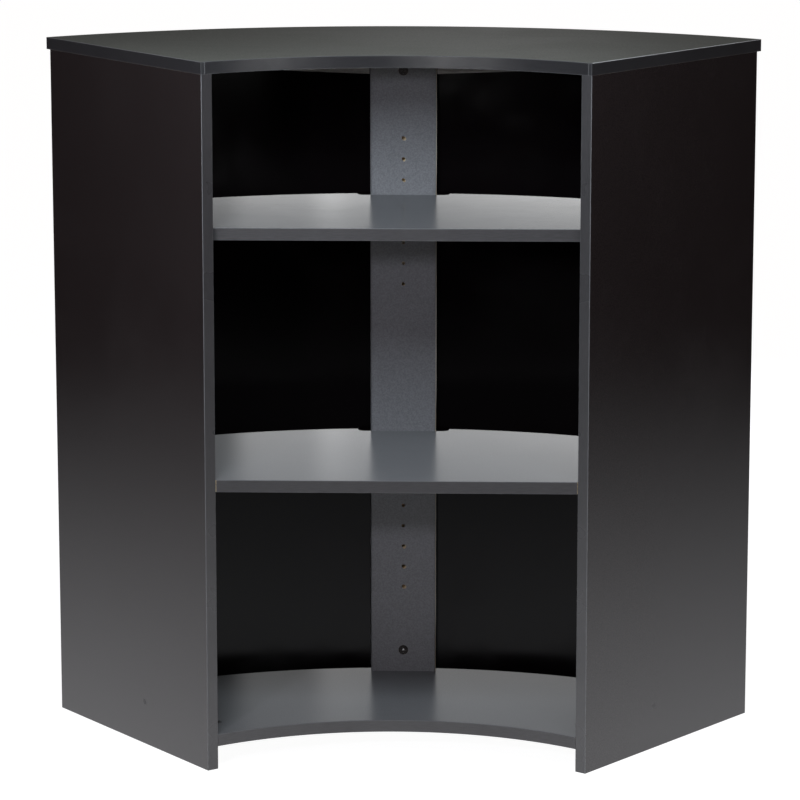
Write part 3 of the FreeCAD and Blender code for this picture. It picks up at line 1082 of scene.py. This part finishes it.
@dataclass(frozen=True)
class ShelfBoards(Banded):
    """Base, fixed shelf and adjustable shelf, each with a band on its front."""

    fixed_bottom: float = 0.781
    loose_bottom: float = 0.4155
    fixed_setback: float = 0.019
    loose_setback: float = 0.0005
    loose_play: float = 0.001
    steps: int = 90

    def _front(self, stem: str, bottom: float, setback: float, play: float, body: Body) -> Piece:
        """Straight band on the front of a shelf.

        Args:
            stem: start of the names of the piece and of the CAD node.
            bottom: underside of the shelf.
            setback: distance behind the inner front corners of the side panels.
            play: clearance at each side panel.
            body: body that the piece rides on.

        Returns:
            The piece.
        """
        plan = self.plan
        corner = plan.inner * cos(plan.half_angle) + plan.board * sin(plan.half_angle)
        depth = corner + setback + float(plan.centre[1])
        half = plan.chord_half(depth, plan.board + play)
        height = bottom + self.shape.width / 2
        path = np.array([[-half, depth, height], [half, depth, height]])
        return self.band(stem, path, np.array([0.0, -1.0, 0.0]), body=body)

    def _base_front(self) -> Piece:
        """Band on the hollow front of the base, (r sin a, r cos a) about the ring's centre.

        Returns:
            The piece.
        """
        plan = self.plan
        limit = plan.half_angle - asin(plan.board / plan.inner)
        outward = radial(np.linspace(-limit, limit, self.steps + 1))
        height = plan.floor_gap + self.shape.width / 2
        return self.band("base_front", plan.centre + outward * plan.inner + UP * height, -outward)

    def build(self) -> list[Piece]:
        """Build the three bands.

        Returns:
            The new pieces.
        """
        fixed = self._front(
            "fixed_shelf", self.fixed_bottom, self.fixed_setback, 0.0, Body.CARCASS)
        loose = self._front(
            "adjustable_shelf", self.loose_bottom, self.loose_setback, self.loose_play, Body.SHELF)
        return [self._base_front(), fixed, loose]

    def dress(self, pieces: list[Piece]) -> None:
        """Give the boards and their bands their finishes.

        Args:
            pieces: the new bands.
        """
        # The three boards share one laminate; their different tones are painted light, for how much
        # light falls on each.
        boards = {
            "base_panel": (self.plan.floor_gap, 109, 118),
            "fixed_shelf": (self.fixed_bottom, 95, 104),
            "adjustable_shelf": (self.loose_bottom, 114, 123),
        }
        for node, (bottom, dark, light) in boards.items():
            board = BoardFinish(
                f"{node}_laminate", screen(dark, dark, dark), screen(light, light, light),
                core=Core(tuple(UP), bottom, bottom + self.plan.board), roughness=0.24, rubbed=0.26,
                relief=0.00003, grain=480.0, haze=0.05, streaks=0.01)
            coat(board, self.nodes[node])
        for thing in (self.nodes["base_panel"], pieces[0]):
            thing.visible_glossy = False
        # The pale line on the bands' upper arris is a painted highlight.
        band = BandFinish(
            "shelf_edge_band", screen(56, 54, 54), screen(68, 66, 66), rub=screen(190, 190, 190),
            upper_line=0.16)
        coat(band, *pieces)


@dataclass(frozen=True)
class Stile(Banded):
    """Upright at the back with two rows of system holes, banded on its long edges.

    Rims are the heights of the holes with a broken rim, and the reach of each patch.
    Each patch sits down and to the right of its hole, where light falls on the hole's wall, so it
    is partly chipped laminate and partly a painted highlight of that lit wall.
    """

    shape: BandShape = BandShape(sink=0.0)
    foot: float = 0.052
    rims: tuple[Span, ...] = (
        (0.886, 0.0034), (0.854, 0.0026), (0.822, 0.0026),
        (0.252, 0.0036), (0.220, 0.0034), (0.188, 0.0036),
    )
    rim_aside: float = 0.0012
    glue_lines: Span = (0.0, 0.8)

    def build(self) -> list[Piece]:
        """Build the two upright bands.

        Returns:
            The new pieces.
        """
        plan, pieces = self.plan, []
        middle = plan.stile_back - plan.board / 2
        for side in Side:
            edge = side.value * plan.stile_half
            path = np.array([[edge, middle, self.foot], [edge, middle, plan.side_height]])
            outward, depth = np.array([float(side.value), 0.0, 0.0]), np.array([0.0, 1.0, 0.0])
            pieces.append(self.band(f"stile_{side.word}", path, outward, depth))
        return pieces

    def dress(self, pieces: list[Piece]) -> None:
        """Give the stile, its bands and the cleats their finishes.

        Args:
            pieces: the new bands.
        """
        # Rim patches sit down and to the right of the holes: partly chipped laminate, partly a painted
        # highlight of the lit hole walls.
        back, aside = self.plan.stile_back, self.rim_aside
        front = back - self.plan.board
        rims = tuple(((aside, front, height - aside), reach) for height, reach in self.rims)
        board = BoardFinish(
            "stile_laminate", screen(106, 106, 107), screen(126, 126, 127), specular=0.3, relief=0.0003,
            core=Core((0.0, 1.0, 0.0), front, back), roughness=0.36, rubbed=0.42, grain=460.0, haze=0.06,
            rims=rims)
        coat(board, self.nodes["centre_stile"])
        for piece, line in zip(pieces, self.glue_lines):
            band = BandFinish(
                f"{piece.name}_band", screen(100, 102, 105), screen(110, 112, 115),
                rub=screen(196, 178, 150), lower_line=line)
            coat(band, piece)
        cleat = WoodFinish(
            "cleat_board", screen(142, 138, 132), screen(176, 172, 165), fibres=(30.0, 400.0, 400.0))
        coat(cleat, *(self.nodes[f"{side.word}_top_cleat"] for side in Side))


@dataclass(frozen=True)
class BentPanel(Assembly):
    """Thin bent panel in the grooves of the side panels: black inside, laminated outside."""

    top: float = 1.0218
    steps: int = 160

    def build(self) -> list[Piece]:
        """Build the panel as a rectangle carried round the ring's centre.

        Point (i, j) lies at radius r[j] and at the turn s[i] * (a - asin(inset / r[j])), with s
        from -1 to 1 and a the half angle, so that its ends lie in the grooves.

        Returns:
            The new piece.
        """
        plan = self.plan
        inner, outer = plan.body, plan.body + plan.body_wall
        radius = np.array([inner, outer, outer, inner])
        height = np.array([plan.floor_gap, plan.floor_gap, self.top, self.top])
        inset = plan.board - plan.groove
        share = np.linspace(-1.0, 1.0, self.steps + 1)
        turn = share[:, None] * (plan.half_angle - np.arcsin(inset / radius))[None, :]
        points = plan.centre + radial(turn) * radius[:, None] + UP * height[:, None]
        faces = loft_faces(len(share), len(radius), True)
        piece = add_mesh("bent_panel", points.reshape(-1, 3), faces)
        piece.visible_glossy = False
        return [stand_for(piece, "curved_panel", Body.CARCASS)]

    def dress(self, pieces: list[Piece]) -> None:
        """Give the panel and its pins their finishes.

        Of each four faces round the section, the second is the panel's outside.

        Args:
            pieces: the new panel.
        """
        panel = pieces[0]
        inside = LacquerFinish(
            "bent_panel_inside", (0.0016, 0.0009, 0.0012), (0.0022, 0.0014, 0.0016), roughness=0.10,
            specular=0.085)
        outside = LacquerFinish("bent_panel_outside", *OUTER_TONES, roughness=0.2, specular=0.38)
        dress(panel, inside.make(), outside.make())
        slots = np.zeros(len(panel.data.polygons), dtype=np.int32)
        around, outer = 4, 1
        slots[outer:around * self.steps:around] = 1
        panel.data.polygons.foreach_set("material_index", slots)
        pins = MetalFinish("panel_pin_steel", screen(70, 68, 66), screen(120, 118, 116))
        coat(pins, self.nodes["panel_pins"])


@dataclass(frozen=True)
class Fittings(Assembly):
    """Cams, bolts, dowels, shelf pins, screws and caps that hold the boards together."""

    cam_start: str = "cam_"
    bolts: str = "cam_bolts"
    sunk: tuple[str, ...] = ("cam_base", "cam_bolts", "dowels")
    driven: str = "cam_stile_foot"
    # Near-black zinc for all cams: painted shade, standing for the shade in their bores.
    zinc: tuple[Colour, Colour, float] = (screen(24, 22, 22), screen(46, 43, 42), 0.34)

    def build(self) -> list[Piece]:
        """The fittings keep their CAD shapes."""
        return []

    def dress(self, pieces: list[Piece]) -> None:
        """Give every fitting its finish.

        Args:
            pieces: no new pieces; not used.
        """
        # The foot cam gets a painted glint at its middle, standing for a highlight in its recess.
        low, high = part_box(self.driven)
        mark = ((low[0] + high[0]) / 2, 0.0, (low[2] + high[2]) / 2)
        cams = [name for name in self.nodes if name.startswith(self.cam_start) and name != self.bolts]
        caps = [f"{side.word}_link_cap" for side in Side]
        steel = MetalFinish(
            "plated_steel", screen(150, 150, 152), screen(196, 197, 200), roughness=0.26)
        beech = WoodFinish(
            "dowel_beech", screen(176, 132, 88), screen(214, 174, 126), fibres=(260.0, 260.0, 60.0))
        for finish, names in (
            (MetalFinish("cam_zinc", *self.zinc), cams),
            (MetalFinish("cam_zinc_driven", *self.zinc, mark=mark), [self.driven]),
            (steel, [self.bolts, "shelf_pins", "cleat_screws"]),
            (beech, ["dowels"]),
            (PlasticFinish("cap_plastic", screen(40, 37, 37), screen(50, 47, 47)), caps),
        ):
            coat(finish, *(self.nodes[name] for name in names))
        for name, node in self.nodes.items():
            if name.startswith(self.sunk):
                node.visible_glossy = False


# Studio


@dataclass(frozen=True)
class Lamp:
    """Soft area lamp that looks at a point and leaves no reflection."""

    name: str
    place: Colour
    target: Colour
    width: float
    height: float
    power: float
    colour: Colour

    def build(self) -> None:
        """Add the lamp to the scene."""
        data = bpy.data.lights.new(self.name, "AREA")
        data.shape = "RECTANGLE"
        data.size, data.size_y = self.width, self.height
        data.energy = self.power
        data.color = self.colour
        lamp = bpy.data.objects.new(self.name, data)
        bpy.context.scene.collection.objects.link(lamp)
        lamp.location = self.place
        look = Vector(self.target) - Vector(self.place)
        lamp.rotation_euler = look.to_track_quat("-Z", "Y").to_euler()
        lamp.visible_camera = False
        lamp.visible_glossy = False


def add_sheet(name: str, first: Array, second: Array, gloss_only: bool = True) -> Wiring:
    """Add a stage sheet between two rows of points.

    Face i joins points i and i + 1 of the first row to the same two of the second.

    Args:
        name: name of the sheet.
        first: points of one row.
        second: points of the other row.
        gloss_only: whether only reflections see it.

    Returns:
        The wiring of its still empty material.
    """
    count = len(first)
    start = np.arange(count - 1)
    faces = np.stack([start, start + 1, start + count + 1, start + count], axis=1)
    mesh = bpy.data.meshes.new(name)
    mesh.from_pydata(np.concatenate([first, second]).tolist(), [], faces.tolist())
    sheet = bpy.data.objects.new(name, mesh)
    bpy.context.scene.collection.objects.link(sheet)
    for rays in OTHER_RAYS:
        setattr(sheet, f"visible_{rays}", not gloss_only)
    material = bpy.data.materials.new(name)
    material.use_nodes = True
    material.node_tree.nodes.remove(material.node_tree.nodes["Principled BSDF"])
    mesh.materials.append(material)
    return Wiring(material.node_tree)


@dataclass(frozen=True)
class Glint:
    """Upright glowing sheet, square to the line to the cabinet, that only first reflections see."""

    name: str
    middle: Colour
    width: float
    height: float
    glow: float

    def build(self) -> None:
        """Add the sheet to the stage."""
        middle = np.array(self.middle)
        reach = hypot(middle[0], middle[1])
        aside = np.array([-middle[1], middle[0], 0.0]) / reach * self.width / 2
        edge, rise = np.stack([middle + aside, middle - aside]), UP * self.height / 2
        wiring = add_sheet(self.name, edge + rise, edge - rise)
        bounces = wiring.add("LightPath").outputs["Glossy Depth"]
        first = wiring.math("LESS_THAN", bounces, FIRST_DEPTH)
        wiring.show(wiring.light("Emission", wiring.times(first, self.glow)))


@dataclass(frozen=True)
class Upright:
    """Upright sheet behind the cabinet that faces the server."""

    left: float
    right: float
    bottom: float
    top: float
    depth: float

    def rows(self) -> tuple[Array, Array]:
        """Lower and upper edge of the sheet."""
        lower = np.array([[self.left, self.depth, self.bottom], [self.right, self.depth, self.bottom]])
        return lower, lower + UP * (self.top - self.bottom)


@dataclass(frozen=True)
class Strip:
    """Glowing strip of the reflector behind the cabinet, fading upwards to nothing.

    From the left, its glow goes in steps from left_share to step_share, to the whole and on to
    near_share.  Right of the middle, it runs from middle_share to right_share.
    """

    bottom: float
    top: float
    strength: float
    left_share: float
    step_share: float
    near_share: float
    middle_share: float
    right_share: float
    steps: tuple[Span, ...] = ((-0.300, -0.252), (-0.170, -0.122), (-0.125, -0.075))
    right: Span = (0.04, 0.27)

    def glow(self, wiring: Wiring, across: Value, height: Value) -> Socket:
        """Brightness of the strip at a place.

        Args:
            wiring: wiring of the reflector's material.
            across: distance to the right of the middle.
            height: height above the floor.

        Returns:
            The brightness, nought outside the strip.
        """
        rise = wiring.spread(height, (self.bottom, self.top), (self.strength, 0.0), smooth=False)
        above = wiring.math("GREATER_THAN", height, self.bottom)
        below = wiring.math("LESS_THAN", height, self.top)
        left: Value = self.left_share
        level = self.left_share
        for step, share in zip(self.steps, (self.step_share, 1.0, self.near_share)):
            left = wiring.math("ADD", left, wiring.spread(across, step, (0.0, share - level)))
            level = share
        ends = (self.middle_share, self.right_share)
        right = wiring.spread(across, self.right, ends, smooth=False)
        sideways = wiring.blend(wiring.math("GREATER_THAN", across, 0.0), left, right)
        return wiring.times(wiring.times(rise, wiring.times(above, below)), sideways)


COOL = (0.79, 0.89, 1.0)
PLAIN = (0.86, 0.86, 1.0)
MIDDLE = (0.0, 0.1, 0.62)


@dataclass(frozen=True)
class Studio:
    """White studio: camera, soft lamps, pale floor and reflectors that only gloss sees."""

    plan: Plan
    camera_place: Colour = (0.1587, -5.5805, 1.6195)
    camera_pitch: float = 11.306
    camera_yaw: float = 1.650
    lens: float = 170.35
    sensor: float = 36.0
    sight: float = 200.0
    floor_half: float = 30.0
    floor_level: float = -0.0004
    floor_centre: Colour = (0.05, 0.0, 0.0)
    floor_reach: Span = (0.42, 3.7)
    floor_glow: Span = (1.34, 0.0)
    floor_power: float = 1.65
    floor_colour: Colour = (0.955, 0.965, 1.0)
    floor_matt: float = 0.8
    floor_shade: float = 0.3
    floor_white: float = 0.965
    gate_steps: int = 60
    gate_depth: float = 1.5
    gate_shares: Span = (1 / 3, 2 / 3)
    reflector: Upright = Upright(-0.8, 0.8, 0.0, 1.0, 0.4)
    glow_half: float = 0.42
    far_wall: Upright = Upright(-1.5, 2.0, 0.9, 2.4, 2.4)
    wall_rise: tuple[Span, Span] = ((-0.5, 0.16), (0.09, 0.78))
    wall_fall: tuple[Span, Span] = ((0.1, 0.6), (1.0, 0.1))
    room_fill: float = 0.12
    room_colour: Colour = (1.0, 0.82, 0.78)
    room_gloss: float = 0.16
    strips: tuple[Strip, ...] = (
        Strip(0.052, 0.380, 0.91, 0.06, 0.52, 0.94, 0.90, 0.88),
        Strip(0.430, 0.685, 1.79, 0.18, 0.66, 0.80, 0.70, 0.90),
        Strip(0.790, 0.945, 2.31, 0.48, 0.71, 0.80, 0.64, 1.04),
    )
    glints: tuple[Glint, ...] = (
        Glint("left_glint", (-0.85, -2.5, 0.94), 1.15, 0.24, 7.4),
        Glint("right_glint", (2.35, -3.0, 0.83), 1.50, 0.34, 5.6),
    )
    lamps: tuple[Lamp, ...] = (
        Lamp("left_softbox", (-0.21, -0.956, 1.40), MIDDLE, 0.42, 0.35, 10.1, COOL),
        Lamp("right_softbox", (0.535, -0.956, 1.40), MIDDLE, 0.42, 0.35, 2.6, COOL),
        Lamp("high_softbox", (0.10, -1.60, 1.80), MIDDLE, 0.60, 0.40, 2.2, COOL),
        Lamp("front_lamp", (-1.10, -2.90, 1.44), (0.0, 0.0, 0.75), 0.18, 0.18, 20.0, PLAIN),
        Lamp("rear_softbox", (0.40, 2.90, 1.02), (0.0, 0.0, 0.55), 1.20, 0.90, 26.0, PLAIN),
    )

    def _camera(self) -> None:
        """Add the camera at the photograph's viewing angle."""
        data = bpy.data.cameras.new("camera")
        data.lens = self.lens
        data.sensor_width = self.sensor
        data.clip_end = self.sight
        camera = bpy.data.objects.new("camera", data)
        bpy.context.scene.collection.objects.link(camera)
        camera.location = self.camera_place
        camera.rotation_euler = (radians(90.0 - self.camera_pitch), 0.0, radians(self.camera_yaw))
        bpy.context.scene.camera = camera

    def _passed(self, wiring: Wiring, comparison: str) -> Socket:
        """Whether a reflection passed more or fewer clear sheets than the gate's depth."""
        passes = wiring.add("LightPath").outputs["Transparent Depth"]
        return wiring.math(comparison, passes, self.gate_depth)

    def _floor(self) -> None:
        """Pale floor: white to the camera with a soft shadow, and fading with distance in gloss."""
        half, level = self.floor_half, self.floor_level
        near, far = (np.array([[-half, y, level], [half, y, level]]) for y in (-half, half))
        wiring = add_sheet("floor", near, far, gloss_only=False)
        paths = wiring.add("LightPath").outputs
        reach = wiring.vector("DISTANCE", wiring.here(), self.floor_centre)["Value"]
        fade = wiring.spread(reach, self.floor_reach, self.floor_glow, smooth=False)
        fade = wiring.math("POWER", fade, self.floor_power)
        fade = wiring.times(fade, self._passed(wiring, "LESS_THAN"))
        mirrored = wiring.light("Emission", fade, self.floor_colour)
        white, shade = wiring.light("Emission", self.floor_white), wiring.matt(self.floor_shade)
        seen = wiring.add("AddShader", {0: white, 1: shade}).outputs[0]
        mixed = wiring.either(paths["Is Glossy Ray"], wiring.matt(self.floor_matt), mirrored)
        mixed = wiring.either(paths["Is Camera Ray"], mixed, seen)
        wiring.show(wiring.either(wiring.behind(), mixed, wiring.clear()))

    def _gate(self) -> None:
        """Two clear sheets in the wall of the bent panel, and a dark one on the floor under the base.

        The clear sheets count the reflections that leave the cabinet through the bent panel.  All
        three follow (r sin a, r cos a) about the ring's centre.
        """
        plan = self.plan
        outward = radial(np.linspace(-plan.half_angle, plan.half_angle, self.gate_steps + 1))
        for name, share in zip(("inner_gate", "outer_gate"), self.gate_shares):
            foot = plan.centre + outward * (plan.body + plan.body_wall * share)
            wiring = add_sheet(name, foot, foot + UP * plan.side_height)
            wiring.show(wiring.clear())
        level = plan.centre + UP * self.floor_level / 2
        wiring = add_sheet("under_shade", level + outward * plan.inner, level + outward * plan.body)
        wiring.show(wiring.matt(0.0))

    def _reflector(self) -> None:
        """Dark reflector behind the cabinet with a glowing strip for each of its boards.

        Only reflections that came through the gate see it, so it doesn't show on the outside.
        """
        wiring = add_sheet("reflector", *self.reflector.rows())
        place = wiring.add("SeparateXYZ", {0: wiring.here()}).outputs
        glow: Value = 0.0
        for strip in self.strips:
            glow = wiring.math("ADD", glow, strip.glow(wiring, place["X"], place["Z"]))
        aside = wiring.math("ABSOLUTE", place["X"])
        glow = wiring.times(glow, wiring.math("LESS_THAN", aside, self.glow_half))
        shown = wiring.math("SUBTRACT", self._passed(wiring, "GREATER_THAN"), wiring.behind())
        wiring.show(wiring.either(shown, wiring.clear(), wiring.light("Emission", glow)))

    def _wall(self) -> None:
        """Far white wall that the top mirrors, soft at both ends."""
        wiring = add_sheet("far_wall", *self.far_wall.rows())
        across = wiring.add("SeparateXYZ", {0: wiring.here()}).outputs["X"]
        rise, fall = wiring.spread(across, *self.wall_rise), wiring.spread(across, *self.wall_fall)
        glow = wiring.light("Emission", wiring.times(rise, fall))
        wiring.show(wiring.either(wiring.behind(), glow, wiring.clear()))

    def _world(self) -> None:
        """Surroundings: white to the camera, a dim grey room to gloss and to matt surfaces."""
        world = bpy.data.worlds.new("studio")
        bpy.context.scene.world = world
        world.use_nodes = True
        wiring = Wiring(world.node_tree)
        paths = wiring.add("LightPath").outputs
        fill = wiring.light("Background", self.room_fill, self.room_colour)
        dim = wiring.times(self._passed(wiring, "LESS_THAN"), self.room_gloss)
        mixed = wiring.either(paths["Is Glossy Ray"], fill, wiring.light("Background", dim))
        mixed = wiring.either(paths["Is Camera Ray"], mixed, wiring.light("Background", 1.0))
        wiring.show(mixed, "World Output")

    def build(self) -> None:
        """Set up the view, the camera, the stage and the lamps."""
        bpy.context.scene.view_settings.view_transform = "Standard"
        self._camera()
        self._floor()
        self._gate()
        self._reflector()
        self._wall()
        for glint in self.glints:
            glint.build()
        self._world()
        for lamp in self.lamps:
            lamp.build()


def main() -> None:
    """Load the frame, build and dress each sub-assembly, and set up the studio."""
    logging.basicConfig(level=logging.INFO, format="%(name)s: %(message)s")
    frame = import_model()
    for effect in (pressed_texture, handling_marks, raw_core, wood_chips, arris_wear, chipped_rim):
        effect()
    plan = Plan()
    for kind in (TopBoard, SidePanels, ShelfBoards, Stile, BentPanel, Fittings):
        assembly = kind(plan, frame["nodes"])
        pieces = assembly.build()
        assembly.dress(pieces)
        for piece in pieces:
            LOG.info("%s: %s, %d faces", kind.__name__, piece.name, len(piece.data.polygons))
    Studio(plan).build()


if __name__ == "__main__":
    main()
